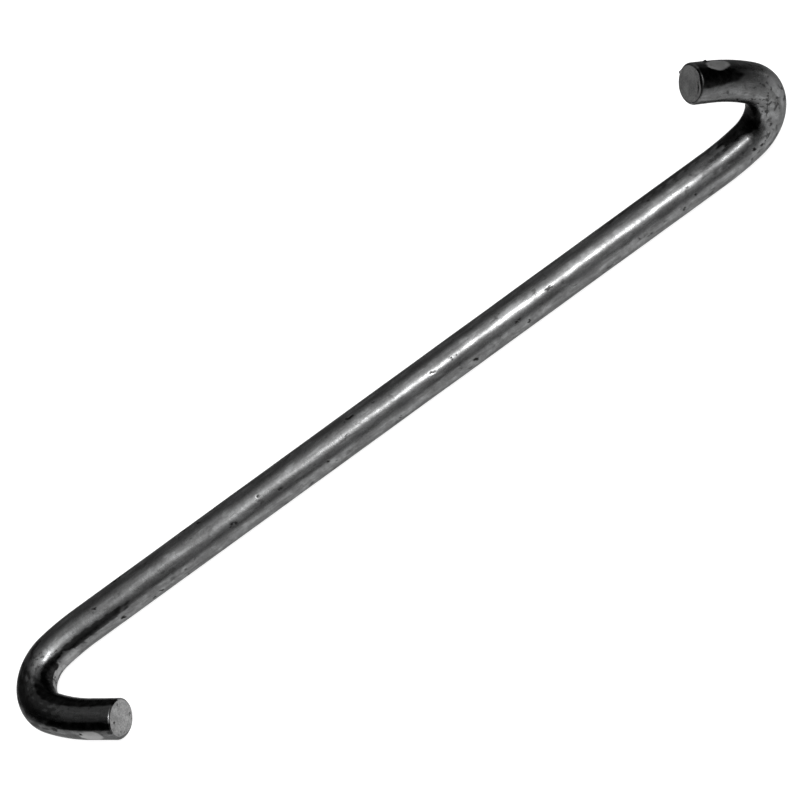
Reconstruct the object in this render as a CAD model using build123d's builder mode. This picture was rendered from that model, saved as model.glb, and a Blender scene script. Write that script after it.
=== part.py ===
from build123d import *
from math import cos, radians, sin
import os

# Double-ended hooked bar: one length of round steel, bent cold into a hook at each end.
#
# It lies as it rests on level ground, and the ground is the plane Z = 0. The straight
# shank runs along X. The flat hook at the -X end lies on the ground and turns toward -Y.
# The upright hook at the +X end is bent a quarter turn round from it and points up.
# The origin is on the ground, under the middle of the whole bar. Sizes are in
# millimetres and degrees.

# Bar stock
BAR_DIAMETER = 9.525  # 3/8 in round
EDGE_BREAK = 0.35  # small bevel round each cropped end

# Overall size
OVERALL_LENGTH = 228.6  # 9 in, from the outside of one bend to the outside of the other

# The bends. The bar first leaves the shank's line along a gentle lead, wraps the die
# pin, and comes off the pin through a gentle tail into a short straight tip.
DIE_PIN_RADIUS = 5.0  # inside of the wrap
LEAD_RADIUS = 52.0  # to the bar's centre line
TAIL_RADIUS = 45.0  # to the bar's centre line

# The upright hook, from the shank to the tip
UPRIGHT_LEAD_ANGLE = 11.4
UPRIGHT_WRAP_ANGLE = 118.3
UPRIGHT_TAIL_ANGLE = 14.2
UPRIGHT_TIP_LENGTH = 5.4

# The flat hook, from the shank to the tip
FLAT_LEAD_ANGLE = 10.3
FLAT_WRAP_ANGLE = 116.4
FLAT_TAIL_ANGLE = 15.0
FLAT_TIP_LENGTH = 7.9

BAR_RADIUS = BAR_DIAMETER / 2
WRAP_RADIUS = DIE_PIN_RADIUS + BAR_RADIUS


def hook_reach(lead_angle):
    """Length of a hook along the shank, from its lead to the outside of its wrap."""
    return (LEAD_RADIUS - WRAP_RADIUS) * sin(radians(lead_angle)) + WRAP_RADIUS + BAR_RADIUS


def hook_height(lead_angle, wrap_angle, tail_angle, tip_length):
    """Height of a hook's tip above the shank's centre line, to the bar's outside."""
    wrap_start = radians(lead_angle)
    tail_start = radians(lead_angle + wrap_angle)
    tip_start = radians(lead_angle + wrap_angle + tail_angle)
    height = LEAD_RADIUS * (1 - cos(wrap_start))
    height += WRAP_RADIUS * (cos(wrap_start) - cos(tail_start))
    height += TAIL_RADIUS * (cos(tail_start) - cos(tip_start))
    height += (tip_length - EDGE_BREAK) * sin(tip_start)
    return height - BAR_RADIUS * cos(tip_start)


def draw_hook(lead_angle, wrap_angle, tail_angle, tip_length):
    """Draw a hook's centre line from the origin of the open BuildLine, and return its tip."""
    lead = JernArc((0, 0), (1, 0), LEAD_RADIUS, lead_angle)
    wrap = JernArc(lead @ 1, lead % 1, WRAP_RADIUS, wrap_angle)
    tail = JernArc(wrap @ 1, wrap % 1, TAIL_RADIUS, tail_angle)
    return PolarLine(tail @ 1, tip_length, direction=tail % 1)


# Where the shank's centre line starts and ends
flat_height = hook_height(FLAT_LEAD_ANGLE, FLAT_WRAP_ANGLE, FLAT_TAIL_ANGLE, FLAT_TIP_LENGTH)
shank_y = (flat_height - BAR_RADIUS) / 2
shank_start = Vector(-OVERALL_LENGTH / 2 + hook_reach(FLAT_LEAD_ANGLE), shank_y, BAR_RADIUS)
shank_end = Vector(OVERALL_LENGTH / 2 - hook_reach(UPRIGHT_LEAD_ANGLE), shank_y, BAR_RADIUS)

# Each hook is drawn outward along the shank and turns toward its plane's own Y
flat_plane = Plane(origin=shank_start, x_dir=(-1, 0, 0), z_dir=(0, 0, 1))
upright_plane = Plane(origin=shank_end, x_dir=(1, 0, 0), z_dir=(0, -1, 0))

# The whole bar is one round section swept along the hooks and the shank between them
with BuildPart() as hooked_bar:
    with BuildLine(flat_plane) as flat_hook:
        flat_tip = draw_hook(FLAT_LEAD_ANGLE, FLAT_WRAP_ANGLE, FLAT_TAIL_ANGLE, FLAT_TIP_LENGTH)
    with BuildLine() as shank:
        Line(shank_start, shank_end)
    with BuildLine(upright_plane) as upright_hook:
        draw_hook(UPRIGHT_LEAD_ANGLE, UPRIGHT_WRAP_ANGLE, UPRIGHT_TAIL_ANGLE, UPRIGHT_TIP_LENGTH)
    with BuildSketch(Plane(origin=flat_tip @ 1, z_dir=flat_tip % 1)):
        Circle(BAR_RADIUS)
    sweep(path=flat_hook.edges() + shank.edges() + upright_hook.edges())

    # The cropped ends are the only flat faces
    chamfer(hooked_bar.faces().filter_by(GeomType.PLANE).edges(), EDGE_BREAK)

hooked_bar.part.label = "hooked_bar"

os.makedirs("parts", exist_ok=True)
export_step(hooked_bar.part, "parts/hooked_bar.step")
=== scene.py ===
# %% [markdown]
# # A double-ended hooked bar
# One length of round steel, cropped to length and bent cold into an open hook at each end.
# The CAD model gives the true shape. Here the same bar is built again as a fine mesh that
# carries what a plain sweep can't: pits, scale, die marks and torn, cropped ends.

# %% Load the CAD frame
from math import cos, pi, radians, sin

import bpy
import numpy as np
from mathutils import Matrix, Vector


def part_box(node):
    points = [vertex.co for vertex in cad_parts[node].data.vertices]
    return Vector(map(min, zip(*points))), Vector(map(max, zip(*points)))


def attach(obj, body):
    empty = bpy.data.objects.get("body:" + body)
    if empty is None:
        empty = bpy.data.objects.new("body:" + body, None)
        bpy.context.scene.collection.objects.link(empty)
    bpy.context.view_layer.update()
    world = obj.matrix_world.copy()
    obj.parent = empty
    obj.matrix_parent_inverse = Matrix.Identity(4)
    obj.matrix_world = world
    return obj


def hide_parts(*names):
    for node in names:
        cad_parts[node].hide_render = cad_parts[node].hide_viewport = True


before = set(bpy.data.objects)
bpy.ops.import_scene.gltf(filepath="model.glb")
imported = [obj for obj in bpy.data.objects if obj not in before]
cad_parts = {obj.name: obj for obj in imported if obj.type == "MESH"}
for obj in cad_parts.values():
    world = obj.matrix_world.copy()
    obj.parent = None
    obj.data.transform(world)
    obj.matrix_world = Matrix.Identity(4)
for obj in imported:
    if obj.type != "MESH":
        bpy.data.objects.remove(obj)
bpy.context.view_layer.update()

MM = 0.001

# %% [markdown]
# ## The bar's centre line
# A bending die makes a hook in three strokes of arc. The bar leaves the shank along a
# gentle lead, wraps tightly round the die pin, and comes off through a gentle tail into a
# short straight tip. A curve object could be bent to this, but arcs written out in code
# match the CAD exactly and tell us how far along the straight bar each point was.

# %% Driving sizes
BAR_RADIUS = 4.7625 * MM
WRAP_RADIUS = 5.0 * MM + BAR_RADIUS
LEAD_RADIUS = 52.0 * MM
TAIL_RADIUS = 45.0 * MM

# Degrees turned in each hook's lead, wrap and tail
UPRIGHT_TURNS = (11.4, 118.3, 14.2)
FLAT_TURNS = (10.3, 116.4, 15.0)
UPRIGHT_TIP = 5.4 * MM
FLAT_TIP = 7.9 * MM

low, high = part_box("hooked_bar")
shank_y = high.y - BAR_RADIUS
shank_z = low.z + BAR_RADIUS


def hook_reach(lead_turn):
    """Length of a hook along the shank, out to its outside."""
    return (LEAD_RADIUS - WRAP_RADIUS) * sin(radians(lead_turn)) + WRAP_RADIUS + BAR_RADIUS


flat_start = Vector((low.x + hook_reach(FLAT_TURNS[0]), shank_y, shank_z))
upright_start = Vector((high.x - hook_reach(UPRIGHT_TURNS[0]), shank_y, shank_z))
shank_length = upright_start.x - flat_start.x
print(f"straight shank {shank_length / MM:.2f} mm")

# %% Walk along a hook


def hook_runs(turns, tip_length):
    """A hook's stretches from the shank outward, as (length, radius), with 0 for straight."""
    radii = (LEAD_RADIUS, WRAP_RADIUS, TAIL_RADIUS)
    runs = [(radius * radians(turn), radius) for radius, turn in zip(radii, turns)]
    return runs + [(tip_length, 0.0)]


def walk_hook(turns, tip_length, distance):
    """Place and heading on a hook, in its own plane, at a distance from the shank."""
    along, up, heading = 0.0, 0.0, 0.0
    for length, radius in hook_runs(turns, tip_length):
        step = min(distance, length)
        if radius:
            turned = heading + step / radius
            along += radius * (sin(turned) - sin(heading))
            up += radius * (cos(heading) - cos(turned))
            heading = turned
        else:
            along += step * cos(heading)
            up += step * sin(heading)
        distance -= step
        if distance <= 0.0:
            break
    return along, up, heading


flat_length = sum(length for length, _ in hook_runs(FLAT_TURNS, FLAT_TIP))
upright_length = sum(length for length, _ in hook_runs(UPRIGHT_TURNS, UPRIGHT_TIP))
print(f"hooks of {flat_length / MM:.1f} and {upright_length / MM:.1f} mm along the centre line")

# %% Place and directions anywhere on the bar
blank_length = flat_length + shank_length + upright_length
print(f"straight blank {blank_length / MM:.1f} mm")


def on_bar(distance):
    """Centre, and the directions along and across the bar, at a distance from the flat tip."""
    if distance < flat_length:
        along, up, heading = walk_hook(FLAT_TURNS, FLAT_TIP, flat_length - distance)
        centre = flat_start + Vector((-along, -up, 0))
        tangent = Vector((cos(heading), sin(heading), 0))
        upward = Vector((0, 0, 1))
        return centre, tangent, upward.cross(tangent), upward
    distance -= flat_length
    if distance < shank_length:
        tangent, sideways = Vector((1, 0, 0)), Vector((0, 1, 0))
        return flat_start + tangent * distance, tangent, sideways, Vector((0, 0, 1))
    along, up, heading = walk_hook(UPRIGHT_TURNS, UPRIGHT_TIP, distance - shank_length)
    centre = upright_start + Vector((along, 0, up))
    tangent = Vector((cos(heading), 0, sin(heading)))
    sideways = Vector((0, 1, 0))
    return centre, tangent, sideways, tangent.cross(sideways)


# %% [markdown]
# ## Relief on the skin
# Steel bar is never quite smooth. Rolling leaves it very slightly out of true, scale that
# was rolled in and fell out leaves pits, and the bending pin presses a faint flat into the
# inside of each bend. All of these go inward from the CAD surface, so the bar never grows
# fatter. They are worked out on a grid over the unrolled skin: distance along the bar by
# angle round it. On the shank, angle 0 faces back and 90 faces up. Inside the flat hook's
# bend it is 180, and inside the upright hook's it is 90.

# %% The grid over the skin
RINGS = 900
SEGMENTS = 104

# The first and last rings crowd together so that the rolled rims come out round
crowd = np.array([0.04, 0.1, 0.18, 0.27, 0.4, 0.55]) * MM
even = np.linspace(0.0, blank_length, RINGS - 2 * len(crowd))
stations = np.sort(np.concatenate([even, crowd, blank_length - crowd]))
angles = np.linspace(0.0, 2 * pi, SEGMENTS, endpoint=False)
along_grid, angle_grid = np.meshgrid(stations, angles, indexing="ij")
print(f"skin: {RINGS} rings of {SEGMENTS}")

# %% Slightly out of true
rng = np.random.default_rng(37)


def rolled_unevenness(waves, longest, depth):
    """Smooth random waves over the skin that join up round the bar, from 0 to depth."""
    total = np.zeros_like(along_grid)
    for _ in range(waves):
        wavelength = longest * rng.uniform(0.25, 1.0)
        lobes = rng.integers(0, 5)
        phase = rng.uniform(0, 2 * pi)
        total += np.cos(2 * pi * along_grid / wavelength + lobes * angle_grid + phase)
    total -= total.min()
    return depth * total / total.max()


depth_grid = rolled_unevenness(waves=24, longest=60 * MM, depth=0.05 * MM)
print(f"unevenness up to {depth_grid.max() / MM:.3f} mm")

# %% Shapes of pits


def turn_between(around, middle):
    """The shorter way round the bar from one angle to another, in radians."""
    return (around - middle + pi) % (2 * pi) - pi


def press_pit(grid, where, angle, size, depth, stretch):
    """Press a flat-bottomed pit into the grid. stretch above 1 draws it out along the bar."""
    reach = size * stretch
    rows = np.flatnonzero(np.abs(stations - where) < reach)
    if not rows.size:
        return
    row = slice(rows[0], rows[-1] + 1)
    across = turn_between(angle_grid[row], angle)
    spread = ((along_grid[row] - where) / reach) ** 2 + (across * BAR_RADIUS / size) ** 2
    grid[row] = np.maximum(grid[row], depth * np.clip(1 - spread, 0, None) ** 0.8)


def press_cluster(grid, where, angle, size, depth):
    """A ragged pit: a few small ones run together."""
    for _ in range(rng.integers(1, 5)):
        press_pit(grid,
                  where + rng.normal(0, 0.9 * size),
                  angle + rng.normal(0, 0.6 * size / BAR_RADIUS),
                  size * rng.uniform(0.5, 1.0),
                  depth * rng.uniform(0.5, 1.0),
                  stretch=rng.uniform(0.9, 1.8))


# %% Press the pits
PITS = 330
PIT_SIZE, LARGEST_PIT = 0.26 * MM, 0.6 * MM
DEEP_PITS = 40
DEEP_PIT_DEPTH = 0.14 * MM
TO_BEND = 22 * MM  # from the shank to the middle of a bend, along a hook

pit_grid = np.zeros_like(along_grid)
bend_middles = (flat_length - TO_BEND, blank_length - upright_length + TO_BEND)
for number in range(PITS):
    # Three in five lie anywhere, and the others where the bends cracked the scale
    if number % 5 < 3:
        where = rng.uniform(0, blank_length)
    else:
        where = bend_middles[number % 2] + rng.normal(0, 10 * MM)
    size = min(PIT_SIZE * rng.lognormal(0, 0.35), LARGEST_PIT)
    press_cluster(pit_grid, where, rng.uniform(0, 2 * pi), size, size * rng.uniform(0.08, 0.25))
for _ in range(DEEP_PITS):
    press_cluster(pit_grid, rng.uniform(0, blank_length), rng.uniform(0, 2 * pi),
                  rng.uniform(0.28, 0.42) * MM, DEEP_PIT_DEPTH)
depth_grid += pit_grid
pitted = np.clip(pit_grid / (0.05 * MM), 0, 1)
print(f"{PITS} small pits and {DEEP_PITS} deep ones, deepest {pit_grid.max() / MM:.2f} mm")

# %% Flats from the die pin
DIE_FLAT = 0.10 * MM


def press_die_flat(middle, reach, angle):
    """A faint flat on one side of the bar, fading out along it."""
    fade = np.clip(1 - ((along_grid - middle) / reach) ** 2, 0, None) ** 0.5
    facing = np.clip(np.cos(angle_grid - angle), 0, None) ** 6
    return DIE_FLAT * fade * facing


half_wrap = WRAP_RADIUS * radians(60)
flat_bend = FLAT_TIP + TAIL_RADIUS * radians(FLAT_TURNS[2]) + half_wrap
upright_bend = blank_length - UPRIGHT_TIP - TAIL_RADIUS * radians(UPRIGHT_TURNS[2]) - half_wrap
depth_grid += press_die_flat(flat_bend, half_wrap, pi)
depth_grid += press_die_flat(upright_bend, half_wrap, 0.5 * pi)
print(f"flats at {flat_bend / MM:.1f} and {upright_bend / MM:.1f} mm along the blank")

# %% [markdown]
# ## The cropped ends
# A bar shear rolls the rim over where its blade goes in, tears the middle, and leaves a
# ragged burr where the two halves part. Each end is a disc of rings with its own relief,
# joined to the skin's first or last ring, so the bar is one closed surface. A bevel would
# round the rims too, but evenly, and a real shear rolls one side far more than the other.

# %% The rolled rims


def lobe(around, middle, width):
    """1 in the middle of a stretch of the rim, falling smoothly to 0 at its edges."""
    away = np.abs(turn_between(around, radians(middle)))
    return np.clip(1 - (away / radians(width)) ** 2, 0, None) ** 2


LEAST_RIM = 0.40  # in millimetres
flat_rim = (LEAST_RIM + 0.55 * lobe(angles, 318, 60)) * MM
upright_rim = (LEAST_RIM + 0.30 * lobe(angles, 110, 70) + 0.45 * lobe(angles, 218, 26)
               + 0.28 * lobe(angles, 275, 60)) * MM


def edge_drop(rim, distance_to_end):
    """How far a rolled rim pulls the skin in, all round, at a distance from the end."""
    short = np.clip(rim - distance_to_end, 0, None)
    return rim - np.sqrt(rim**2 - np.minimum(short, rim) ** 2)


print(f"rims rolled to {flat_rim.max() / MM:.2f} and {upright_rim.max() / MM:.2f} mm")

# %% [markdown]
# The upright hook's end was cropped with a worn blade. It keeps a thin fin of burr on one
# side, a torn lip on the other, and a sliver of squeezed scale standing up behind the
# rim. They are bumps in the same grid rather than loose pieces, as they are one with the
# bar's own steel.

# %% Burrs
SLIVER = {"back": 3.6 * MM, "angle": 287, "height": 0.45 * MM, "size": 0.42 * MM}
FIN = {"angle": 352, "width": 9, "height": 0.5 * MM, "thickness": 0.35 * MM}

sliver_along = (along_grid - (blank_length - SLIVER["back"])) / SLIVER["size"]
sliver_across = (angle_grid - radians(SLIVER["angle"])) * BAR_RADIUS / SLIVER["size"]
depth_grid -= SLIVER["height"] * np.clip(1 - sliver_along**2 - sliver_across**2, 0, None)


def fin_height(distance_to_rim, around):
    """Height of the fin past the end plane, near the upright hook's rim."""
    near = np.clip(1 - distance_to_rim / FIN["thickness"], 0, 1)
    return FIN["height"] * near * lobe(around, FIN["angle"], FIN["width"])


print(f"fin {FIN['height'] / MM:.2f} mm and sliver {SLIVER['height'] / MM:.2f} mm high")

# %% [markdown]
# Between the rims the steel tore. The face has low waves where it gave way, dimples where
# grains pulled out, and on each end one larger fault: a hole in the flat hook's end, and
# a groove behind a lip on the upright hook's.

# %% Torn faces
TEAR = {"waves": 14, "height": 0.02 * MM, "dimples": 7, "dimple_depth": 0.06 * MM}
HOLE = {"share": 0.62, "angle": 48, "size": 0.08, "depth": 0.25 * MM}
LIP = {"share": 0.76, "angle": 196, "width": 40, "half_breadth": 0.07, "depth": 0.30 * MM}


def dent(x, y, share, turn, size):
    """1 in the middle of a round dent and 0 outside it, on a face with a radius of 1."""
    spread = np.hypot(x - share * cos(turn), y - share * sin(turn)) / size
    return np.clip(1 - spread**2, 0, None)


def torn_face(seed, lip=None, hole=None):
    """Relief of a cropped face, below its end plane, by share of the radius and angle."""
    chance = np.random.default_rng(seed)
    waves = [(chance.uniform(3, 20), chance.uniform(0, 2 * pi), chance.uniform(0, 2 * pi))
             for _ in range(TEAR["waves"])]
    dimples = [(chance.uniform(0.1, 0.85), chance.uniform(0, 2 * pi), chance.uniform(0.04, 0.10))
               for _ in range(TEAR["dimples"])]

    def relief(share, around):
        x, y = share * np.cos(around), share * np.sin(around)
        total = sum(np.cos(rate * (x * cos(turn) + y * sin(turn)) + phase)
                    for rate, turn, phase in waves)
        depth = TEAR["height"] * (1 + 2 * total / len(waves))
        for dimple in dimples:
            depth = depth + TEAR["dimple_depth"] * dent(x, y, *dimple)
        if hole:
            depth = depth + hole["depth"] * dent(
                x, y, hole["share"], radians(hole["angle"]), hole["size"])
        if lip:
            wander = 0.04 * np.sin(5 * around)
            offset = (share - lip["share"] - wander) / lip["half_breadth"]
            groove = np.clip(1 - offset**2, 0, None) * lobe(around, lip["angle"], lip["width"])
            depth = depth + lip["depth"] * groove
        return -depth

    return relief


flat_relief = torn_face(seed=5, hole=HOLE)
upright_relief = torn_face(seed=11, lip=LIP)
print(f"flat end's middle {-flat_relief(0.0, 0.0) / MM:.3f} mm below its plane")

# %% [markdown]
# ## One closed mesh
# The rings are placed along the centre line, each point moved in by its relief. Every
# ring is joined to the next with quads, and each end is closed with smaller and smaller
# copies of its rim. Displacing a swept tube would look alike from afar, but here the pits,
# rims and tears meet without a seam, and each point keeps its place on the straight bar.

# %% Rings of the skin


def skin_points():
    """Every ring of the skin, end to end."""
    points = np.zeros((RINGS, SEGMENTS, 3))
    for ring, station in enumerate(stations):
        centre, tangent, sideways, upward = on_bar(station)
        to_upright_end = blank_length - station
        radius = (BAR_RADIUS - depth_grid[ring]
                  - edge_drop(flat_rim, station)
                  - edge_drop(upright_rim, to_upright_end))
        points[ring] = (np.array(centre)
                        + np.outer(radius * np.cos(angles), sideways)
                        + np.outer(radius * np.sin(angles), upward)
                        + np.outer(fin_height(to_upright_end, angles), tangent))
    return points


vertices = [skin_points().reshape(-1, 3)]
faces = []
for ring in range(RINGS - 1):
    here, there = ring * SEGMENTS, (ring + 1) * SEGMENTS
    for segment in range(SEGMENTS):
        after = (segment + 1) % SEGMENTS
        faces.append((here + segment, here + after, there + after, there + segment))
skin_faces = len(faces)
print(f"skin: {skin_faces} faces")

# %% Close the ends
END_RINGS = 22
end_pitting = []


def add_end(rim_start, station, side, relief, fin):
    """Close one end. side is -1 at the flat hook's end and 1 at the upright hook's.

    Each face is written in the order that suits the flat hook's end, and is turned over
    at the other end, so that all of them look outward.
    """
    centre, tangent, _, _ = on_bar(station)
    centre, outward = np.array(centre), np.array(tangent) * side
    rim = vertices[0][rim_start:rim_start + SEGMENTS]
    rim = rim - np.outer((rim - centre) @ outward, outward)
    previous = rim_start
    for share in np.linspace(1, 0, END_RINGS, endpoint=False)[1:]:
        height = relief(share, angles)
        if fin:
            height = height + fin_height((1 - share) * BAR_RADIUS, angles)
        start = sum(len(block) for block in vertices)
        vertices.append(centre + (rim - centre) * share + np.outer(height, outward))
        # Dirt lies only in what is deeper than the low waves
        end_pitting.append(np.clip(-height / MM - 0.06, 0, 0.12) / 0.12)
        for segment in range(SEGMENTS):
            after = (segment + 1) % SEGMENTS
            quad = (previous + segment, start + segment, start + after, previous + after)
            faces.append(quad[::-side])
        previous = start
    middle = sum(len(block) for block in vertices)
    vertices.append((centre + outward * float(relief(0.0, 0.0)))[None])
    end_pitting.append(np.zeros(1))
    for segment in range(SEGMENTS):
        triangle = (previous + segment, middle, previous + (segment + 1) % SEGMENTS)
        faces.append(triangle[::-side])


add_end(0, 0.0, -1, flat_relief, fin=False)
add_end((RINGS - 1) * SEGMENTS, blank_length, 1, upright_relief, fin=True)
print(f"ends: {len(faces) - skin_faces} faces")

# %% Make the bar
bar_mesh = bpy.data.meshes.new("hooked_bar_skin")
bar_mesh.from_pydata(np.concatenate(vertices).tolist(), [], faces)
bar_mesh.polygons.foreach_set("use_smooth", [True] * len(faces))
bar = bpy.data.objects.new("bar", bar_mesh)
bpy.context.scene.collection.objects.link(bar)
print(f"bar mesh: {len(bar_mesh.vertices)} points, {len(bar_mesh.polygons)} faces")

# %% Remember where each point was on the straight bar
blank_values = np.concatenate(vertices)
blank_values[:RINGS * SEGMENTS] = np.stack(
    [along_grid, BAR_RADIUS * np.cos(angle_grid), BAR_RADIUS * np.sin(angle_grid)], axis=-1
).reshape(-1, 3)
blank = bar_mesh.attributes.new("blank_position", "FLOAT_VECTOR", "POINT")
blank.data.foreach_set("vector", blank_values.astype(np.float32).ravel())
print(f"{len(blank.data)} places kept")

# %% [markdown]
# ## Painted reflections and scale marks
# Painted shade makes the oxide near black inside each bend, on the shank leading to the
# upright bend and over the tips, where the bar mirrors its own dark tip and the shadowed
# floor, and a fainter patch dims the start of the bright line. Painted reflections of the
# lit floor make it pale grey outside each tip and inside the flat bend. These, the pits and
# the scale cracked by bending are kept as values from 0 to 1 on the mesh, and the material
# reads them. Painting them on an image would do it too, but values on the mesh need no
# unwrapping, and the grid is fine enough to keep their edges.

# %% Shape of a mark


def patch(start, end, middle, width, fray=0.0):
    """An oval patch, from start to end in millimetres along the blank, round an angle."""
    where = (along_grid / MM - 0.5 * (start + end)) / (0.5 * (end - start))
    away = turn_between(angle_grid, radians(middle)) / radians(width)
    ripples = np.sin(23 * angle_grid + 5) + np.sin(2 * along_grid / MM + 9 * angle_grid)
    return np.clip((1 - where**2 - away**2 + fray * ripples) / 0.25, 0, 1)


# %% Painted shade: dark reflections
last = blank_length / MM  # the upright hook's end, in millimetres along the blank

# Painted shade: near black where the bar mirrors its own dark tip and the shadowed floor
painted_dark_reflection = np.maximum.reduce([
    # Inside the upright bend, and fainter on the shank leading to it
    patch(last - 44, last - 23.5, 84, 31, fray=0.10),
    patch(last - 37.5, last - 17.5, 98, 40, fray=0.06),
    0.55 * patch(last - 76, last - 36, 62, 20, fray=0.35),
    # Painted shade that dims the start of the bright line near the upright bend
    0.50 * patch(last - 52, last - 31, 126, 24, fray=0.20),
    # Outside the upright tip
    patch(last - 11.5, last + 12, 226, 32, fray=0.05),
    # Inside the flat bend, from its tip to the shank
    patch(-8, 30, 122, 22, fray=0.05),
    patch(16, 44.5, 160, 28, fray=0.05),
    0.8 * patch(34, 62, 154, 17, fray=0.20),
    # On top of the flat hook
    patch(-6, 20, 44, 13, fray=0.12),
    0.6 * patch(15, 33, 70, 60, fray=0.40),
])
print(f"burnished: {(painted_dark_reflection > 0.5).mean():.0%} of the skin")

# %% Painted floor reflections and cracked scale
# Painted reflection: pale patches where the bar mirrors the lit floor
painted_floor_reflection = np.maximum.reduce([
    # Outside each tip
    patch(last - 8.9, last - 2.5, 264, 23, fray=0.06),
    patch(3.0, 9.2, 10, 22, fray=0.06),
    # Faintly, inside the flat bend
    0.22 * patch(37.3, 44.7, 186, 34, fray=0.10),
    0.30 * patch(22, 41, 202, 28, fray=0.10),
])
bend_span = 16 * MM
worked = sum(np.exp(-((along_grid - middle) / bend_span) ** 2) for middle in bend_middles)
print(f"rubbed: {(painted_floor_reflection > 0).mean():.1%} of the skin")

# %% Keep the marks on the mesh


def keep_mark(name, skin_values, end_values=None):
    """Keep a value from 0 to 1 for each point of the skin and of the ends."""
    if end_values is None:
        end_values = np.zeros(len(bar_mesh.vertices) - RINGS * SEGMENTS)
    values = np.concatenate([skin_values.ravel(), end_values]).astype(np.float32)
    bar_mesh.attributes.new(name, "FLOAT", "POINT").data.foreach_set("value", values)


keep_mark("pitted", pitted, np.concatenate(end_pitting))
keep_mark("worked", worked)
# Painted shade, left off where the painted floor reflections lie, and then the painted floor
# reflections
keep_mark("painted_dark_reflection", painted_dark_reflection * (painted_floor_reflection == 0))
keep_mark("painted_floor_reflection", painted_floor_reflection)
print("kept on the mesh:", [a.name for a in bar_mesh.attributes if not a.is_internal])

# %% Put the bar in the CAD solid's place
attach(bar, "root")
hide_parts("hooked_bar")
print("the bar stands in for hooked_bar")

# %% [markdown]
# ## Effects on the steel
# The dark skin and the bare cropped ends are one metal, so their effects are kept as node
# groups: blotches where the surface is duller, fine lines left by drawing, longer smears
# along the bar, and ragged marks where scale came off. Every pattern is placed by where
# the metal was on the straight bar, so it runs round the bends with the steel, as the
# real one did when it was bent.

# %% Helpers for nodes


def put(tree, socket, value):
    """Give an input a plain value, or link another node's output to it."""
    if isinstance(value, bpy.types.NodeSocket):
        tree.links.new(value, socket)
    else:
        socket.default_value = value


def add_node(tree, kind, settings=None, **values):
    """Add a node, set its own settings, and fill its inputs by name."""
    node = tree.nodes.new("ShaderNode" + kind)
    for key, value in (settings or {}).items():
        setattr(node, key, value)
    for label, value in values.items():
        put(tree, node.inputs[label], value)
    return node


def combine(tree, operation, first, second=0.0):
    """One arithmetic step on two values, either of which may be a plain number."""
    node = add_node(tree, "Math", {"operation": operation})
    put(tree, node.inputs[0], first)
    put(tree, node.inputs[1], second)
    return node.outputs[0]


def ramp(tree, value, low_in, high_in, low_out=0.0, high_out=1.0):
    """Stretch one range of a value onto another, smoothly."""
    node = add_node(tree, "MapRange", {"interpolation_type": "SMOOTHSTEP"}, Value=value)
    node.inputs["From Min"].default_value = low_in
    node.inputs["From Max"].default_value = high_in
    node.inputs["To Min"].default_value = low_out
    node.inputs["To Max"].default_value = high_out
    return node.outputs["Result"]


def stretched(tree, position, along):
    """A position squeezed along the bar, which draws a pattern out in that direction."""
    return add_node(tree, "Mapping", Vector=position, Scale=(along, 1, 1)).outputs["Vector"]


# %% Helper for node groups


def new_group(name, output, **inputs):
    """A node group with a position, named float inputs and one float output."""
    group = bpy.data.node_groups.new(name, "ShaderNodeTree")
    group.interface.new_socket("Position", in_out="INPUT", socket_type="NodeSocketVector")
    for label, value in inputs.items():
        socket = group.interface.new_socket(label, in_out="INPUT", socket_type="NodeSocketFloat")
        socket.default_value = value
    group.interface.new_socket(output, in_out="OUTPUT", socket_type="NodeSocketFloat")
    start = group.nodes.new("NodeGroupInput").outputs
    end = group.nodes.new("NodeGroupOutput").inputs[output]
    print("group:", name)
    return group, start, end


# %% Blotches
CLOUD_EDGES = (0.34, 0.66)  # where noise turns from none to full

blotches, start, end = new_group("Blotches", "Mask", Scale=400.0, Detail=4.0)
cloud = add_node(blotches, "TexNoise", Vector=start["Position"], Scale=start["Scale"],
                 Detail=start["Detail"], Roughness=0.6)
blotches.links.new(ramp(blotches, cloud.outputs["Fac"], *CLOUD_EDGES), end)

# %% Draw lines
draw_lines, start, end = new_group("Draw Lines", "Height", Scale=3000.0)
lines = add_node(draw_lines, "TexNoise", Vector=stretched(draw_lines, start["Position"], 0.012),
                 Scale=start["Scale"], Detail=3.0, Roughness=0.55)
draw_lines.links.new(lines.outputs["Fac"], end)

# %% Streaks
streaks, start, end = new_group("Streaks", "Mask", Scale=700.0)
smear = add_node(streaks, "TexNoise", Vector=stretched(streaks, start["Position"], 0.16),
                 Scale=start["Scale"], Detail=4.0, Roughness=0.6, Distortion=0.4)
streaks.links.new(ramp(streaks, smear.outputs["Fac"], *CLOUD_EDGES), end)

# %% Scale marks
FLAKE_EDGES = (0.54, 0.66)
GATHER_SCALE = 230.0
GATHER_EDGES = (0.9, 1.15)

marks, start, end = new_group("Scale Marks", "Mask", Scale=1200.0, Share=0.5)
ragged = add_node(marks, "TexNoise", Vector=stretched(marks, start["Position"], 0.6),
                  Scale=start["Scale"], Detail=3.0, Roughness=0.55, Distortion=0.5)
flaked = ramp(marks, ragged.outputs["Fac"], *FLAKE_EDGES)

# Marks gather in some places, and in more of them where the share is higher
gathered = add_node(marks, "TexNoise", Vector=start["Position"], Scale=GATHER_SCALE, Detail=2.0)
near = combine(marks, "ADD", gathered.outputs["Fac"], start["Share"])
near = ramp(marks, near, *GATHER_EDGES)
marks.links.new(combine(marks, "MULTIPLY", flaked, near), end)

# %% Helpers for materials


def new_material(name):
    """A material, with its node tree and its main shader."""
    material = bpy.data.materials.new(name)
    material.use_nodes = True
    tree = material.node_tree
    return material, tree, tree.nodes["Principled BSDF"]


def read_mark(tree, name):
    """A value that the mesh keeps for each point."""
    return add_node(tree, "Attribute", {"attribute_name": name}).outputs["Fac"]


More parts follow.
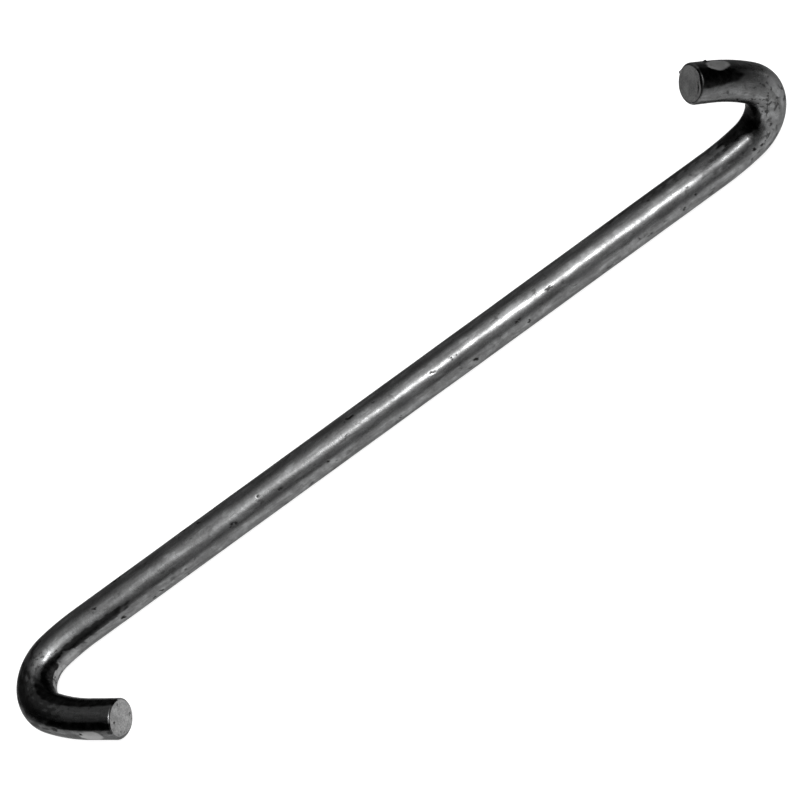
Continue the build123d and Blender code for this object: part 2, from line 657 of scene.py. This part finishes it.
def blank_position(tree):
    """Where the metal was on the straight bar."""
    return add_node(tree, "Attribute", {"attribute_name": "blank_position"}).outputs["Vector"]


def place_group(tree, group, position, **values):
    """Put one of the effects in a material, with its own values."""
    node = add_node(tree, "Group", {"node_tree": group}, Position=position, **values)
    return node.outputs[0]


def mix_colour(tree, share, first, second):
    """The first colour at a share of 0 and the second at 1."""
    node = add_node(tree, "Mix", {"data_type": "RGBA"})
    sockets = {socket.identifier: socket for socket in node.inputs}
    put(tree, sockets["Factor_Float"], share)
    put(tree, sockets["A_Color"], first)
    put(tree, sockets["B_Color"], second)
    return next(s for s in node.outputs if s.identifier == "Result_Color")


def add_up(tree, *terms):
    """The sum of some values, each given with its weight."""
    total = None
    for value, weight in terms:
        value = combine(tree, "MULTIPLY", value, weight)
        total = value if total is None else combine(tree, "ADD", total, value)
    return total


def grey(level, warmth=0.0):
    """A neutral grey, a little warmer or cooler."""
    return (level * (1 + warmth), level, level * (1 - warmth), 1.0)


# %% [markdown]
# ## Dark skin
# The bar keeps a thin dark oxide skin, oiled, semi-gloss and nearly black. It returns only
# about a fifth of the light, but returns it as metal does, so it is a metallic shader with
# a dark colour rather than black paint. Blotches and smears vary its colour and gloss.
# Pits are darker and duller because dirt and oil stay in them. Painted shade makes it near
# black where the bar mirrors its own dark tip and the shadowed floor, and painted reflections
# of the lit floor make it pale grey outside the tips and inside the flat bend.

# %% What varies over the skin
skin, tree, surface = new_material("dark_skin")
position = blank_position(tree)
pit_share = read_mark(tree, "pitted")
scale_share = ramp(tree, read_mark(tree, "worked"), 0.0, 1.0, 0.40, 0.69)
# Painted shade, and painted reflections of the lit floor, as the mesh keeps them
black = read_mark(tree, "painted_dark_reflection")
floor_reflection_share = read_mark(tree, "painted_floor_reflection")
broad = place_group(tree, blotches, position, Scale=240.0, Detail=5.0)
small = place_group(tree, blotches, position, Scale=600.0, Detail=3.0)
grain = place_group(tree, blotches, position, Scale=2200.0, Detail=3.0)
smears = place_group(tree, streaks, position, Scale=700.0)
drawn = place_group(tree, draw_lines, position, Scale=3200.0)
specks = place_group(tree, marks, position, Scale=780.0, Share=scale_share)
dirt = combine(tree, "MAXIMUM", pit_share, combine(tree, "MULTIPLY", specks, 0.7))
print("material:", skin.name)

# %% Colour of the skin
COOL = -0.01  # warmth of the plain oxide

oxide = mix_colour(tree, broad, grey(0.16, COOL), grey(0.24, COOL))
oxide = mix_colour(tree, ramp(tree, smears, 0.0, 1.0, 0.0, 0.7), oxide, grey(0.085))
oxide = mix_colour(tree, ramp(tree, small, 0.0, 1.0, 0.0, 0.5), oxide, grey(0.12))
oxide = mix_colour(tree, ramp(tree, grain, 0.0, 1.0, 0.0, 0.15), oxide, grey(0.26))
# Painted reflection of the lit floor: pale grey patches
oxide = mix_colour(tree, floor_reflection_share, oxide, grey(0.48))
# Painted shade: near black where the bar mirrors its dark tip and the shadowed floor
oxide = mix_colour(tree, black, oxide, mix_colour(tree, small, grey(0.012), grey(0.035)))
oxide = mix_colour(tree, dirt, oxide, grey(0.02, 0.02))
tree.links.new(oxide, surface.inputs["Base Color"])
surface.inputs["Metallic"].default_value = 1.0
surface.inputs["Specular Tint"].default_value = grey(0.5)
print("oxide greys from 0.012, burnished, to 0.48, rubbed bare")

# %% Gloss and fine relief of the skin
sheen = add_up(tree, (ramp(tree, broad, 0.0, 1.0, 0.30, 0.23), 1.0),
               (ramp(tree, small, 0.0, 1.0, 0.0, 0.06), 1.0), (dirt, 0.25), (floor_reflection_share, 0.28))
tree.links.new(sheen, surface.inputs["Roughness"])

RELIEF = 0.010 * MM
height = add_up(tree, (drawn, 0.3), (small, 1.4), (grain, 0.3), (specks, -1.5))
bump = add_node(tree, "Bump", Height=height, Strength=0.6, Distance=RELIEF)
tree.links.new(bump.outputs["Normal"], surface.inputs["Normal"])
print(f"fine relief {RELIEF / MM:.3f} mm")

# %% [markdown]
# ## Bare steel
# Sheared metal is bare, pale grey and dull, with a crystalline grain where it tore. It
# shares the skin's effects but needs a lighter colour and far more roughness.

# %% Cropped steel material
cropped, tree, surface = new_material("cropped_steel")
position = blank_position(tree)
grain = place_group(tree, blotches, position, Scale=2600.0, Detail=4.0)
stain = place_group(tree, blotches, position, Scale=450.0, Detail=4.0)
specks = place_group(tree, marks, position, Scale=1500.0, Share=0.45)
dirt = combine(tree, "MAXIMUM", specks, read_mark(tree, "pitted"))

bare = mix_colour(tree, stain, grey(0.32), grey(0.45))
bare = mix_colour(tree, ramp(tree, grain, 0.0, 1.0, 0.0, 0.4), bare, grey(0.26))
bare = mix_colour(tree, dirt, bare, grey(0.04))
tree.links.new(bare, surface.inputs["Base Color"])
tree.links.new(ramp(tree, grain, 0.0, 1.0, 0.60, 0.74), surface.inputs["Roughness"])
height = add_up(tree, (grain, 1.0), (specks, -2.0))
bump = add_node(tree, "Bump", Height=height, Strength=0.6, Distance=RELIEF)
tree.links.new(bump.outputs["Normal"], surface.inputs["Normal"])
surface.inputs["Metallic"].default_value = 1.0
print("material:", cropped.name)

# %% Put the materials on the bar
bar_mesh.materials.append(skin)
bar_mesh.materials.append(cropped)
bar_mesh.polygons.foreach_set("material_index",
                              [int(face >= skin_faces) for face in range(len(faces))])
print("materials:", [material.name for material in bar_mesh.materials])

# %% [markdown]
# ## Stage
# Polished dark metal shows its room more than its own colour. A dark room with a few soft
# lights gives it bright and black bands, while a pale table stands under it. To have both,
# the Light Path node tells what the camera sees, a pale wall and a glowing table, apart
# from what the bar reflects. The table's glow for the bar is a strip along the shank,
# which lights the bar's underside.

# %% Floor
POOL_WIDTH = 36 * MM
POOL_MIDDLE = shank_y - 10 * MM
POOL_GLOW, SEEN_GLOW = 0.85, 0.7

bpy.ops.mesh.primitive_circle_add(vertices=128, radius=2.5, fill_type="NGON")
floor = bpy.context.object
floor.name = "floor"
floor.location.z = low.z
floor_material, tree, surface = new_material("pale_table")
surface.inputs["Roughness"].default_value = 0.9
surface.inputs["Emission Color"].default_value = (1, 1, 1, 1)
seen = add_node(tree, "LightPath").outputs["Is Camera Ray"]

across = add_node(tree, "TexCoord").outputs["Object"]
across = add_node(tree, "SeparateXYZ", Vector=across).outputs["Y"]
across = combine(tree, "DIVIDE", combine(tree, "SUBTRACT", across, POOL_MIDDLE), POOL_WIDTH)
fall = combine(tree, "MULTIPLY", combine(tree, "MULTIPLY", across, across), -1.0)
pool = combine(tree, "MULTIPLY", combine(tree, "EXPONENT", fall), POOL_GLOW)
shown = mix_colour(tree, seen, pool, grey(SEEN_GLOW))
tree.links.new(shown, surface.inputs["Emission Strength"])
tree.links.new(mix_colour(tree, seen, grey(0.42), grey(0.45)), surface.inputs["Base Color"])
floor.data.materials.append(floor_material)
print(f"floor at {floor.location.z / MM:.3f} mm")

# %% [markdown]
# The room is the world's background: a few round glows with no edges on black. An image
# of a studio would do the same, but four glows are enough for a bar this simple. A soft
# box above the front gives the one bright line along the shank.

# %% World
world = bpy.data.worlds.new("studio")
bpy.context.scene.world = world
world.use_nodes = True
tree = world.node_tree
looking = add_node(tree, "TexCoord").outputs["Generated"]


def toward(azimuth, elevation):
    """Direction toward a light. Azimuth 0 is in front of the bar, at -Y, and 90 is at +X."""
    turn, rise = radians(azimuth), radians(elevation)
    return Vector((sin(turn) * cos(rise), -cos(turn) * cos(rise), sin(rise)))


def soft_glow(azimuth, elevation, tightness, strength):
    """A round light with no edge, brightest in one direction and fading away round it."""
    facing = add_node(tree, "VectorMath", {"operation": "DOT_PRODUCT"})
    put(tree, facing.inputs[0], looking)
    put(tree, facing.inputs[1], toward(azimuth, elevation))
    short = combine(tree, "SUBTRACT", facing.outputs["Value"], 1.0)
    short = combine(tree, "MULTIPLY", short, tightness)
    return combine(tree, "MULTIPLY", combine(tree, "EXPONENT", short), strength)


glow = soft_glow(azimuth=10, elevation=59, tightness=24, strength=2.2)
glow = combine(tree, "ADD", glow, soft_glow(azimuth=70, elevation=84, tightness=9, strength=1.5))
glow = combine(tree, "ADD", glow, soft_glow(azimuth=8, elevation=24, tightness=9, strength=0.6))
glow = combine(tree, "ADD", glow, soft_glow(azimuth=178, elevation=8, tightness=4, strength=0.35))
seen = add_node(tree, "LightPath").outputs["Is Camera Ray"]
wall = mix_colour(tree, seen, glow, grey(0.85))
tree.links.new(wall, tree.nodes["Background"].inputs["Color"])
print("world:", world.name)

# %% Key light


def add_lamp(name, azimuth, elevation, distance, width, depth, power):
    """A soft box aimed at the bar."""
    data = bpy.data.lights.new(name, "AREA")
    data.shape = "RECTANGLE"
    data.size, data.size_y = width, depth
    data.energy = power
    lamp = bpy.data.objects.new(name, data)
    lamp.location = toward(azimuth, elevation) * distance
    lamp.rotation_euler = (pi / 2 - radians(elevation), 0, radians(azimuth))
    lamp.visible_camera = False
    bpy.context.scene.collection.objects.link(lamp)
    return lamp


key = add_lamp("key", azimuth=12, elevation=60, distance=0.7, width=0.18, depth=0.07, power=1.4)
print("lamp:", key.name)

# %% [markdown]
# ## Camera
# The camera looks down on the bar from the front and is rolled, so that the bar runs from
# corner to corner of the frame. A fairly long lens keeps the two hooks nearly equal.

# %% Camera
AIM = Vector((0.00007, 0.01375, 0.00442))
CAMERA_DISTANCE = 0.43725
CAMERA_AZIMUTH, CAMERA_ELEVATION, CAMERA_ROLL = 2.456, 47.774, -37.799

camera_data = bpy.data.cameras.new("camera")
camera_data.sensor_width = 36
camera_data.lens = 83.25
camera = bpy.data.objects.new("camera", camera_data)
bpy.context.scene.collection.objects.link(camera)
swing = Matrix.Rotation(radians(CAMERA_AZIMUTH), 4, "Z")
tilt = Matrix.Rotation(radians(90 - CAMERA_ELEVATION), 4, "X")
roll = Matrix.Rotation(radians(CAMERA_ROLL), 4, "Z")
camera.matrix_world = (Matrix.Translation(AIM) @ swing @ tilt
                       @ Matrix.Translation((0, 0, CAMERA_DISTANCE)) @ roll)
bpy.context.scene.camera = camera
bpy.context.scene.view_settings.view_transform = "Standard"
bpy.context.scene.view_settings.look = "Medium High Contrast"
print(f"camera {CAMERA_DISTANCE:.3f} m away, {camera_data.lens:.0f} mm lens")
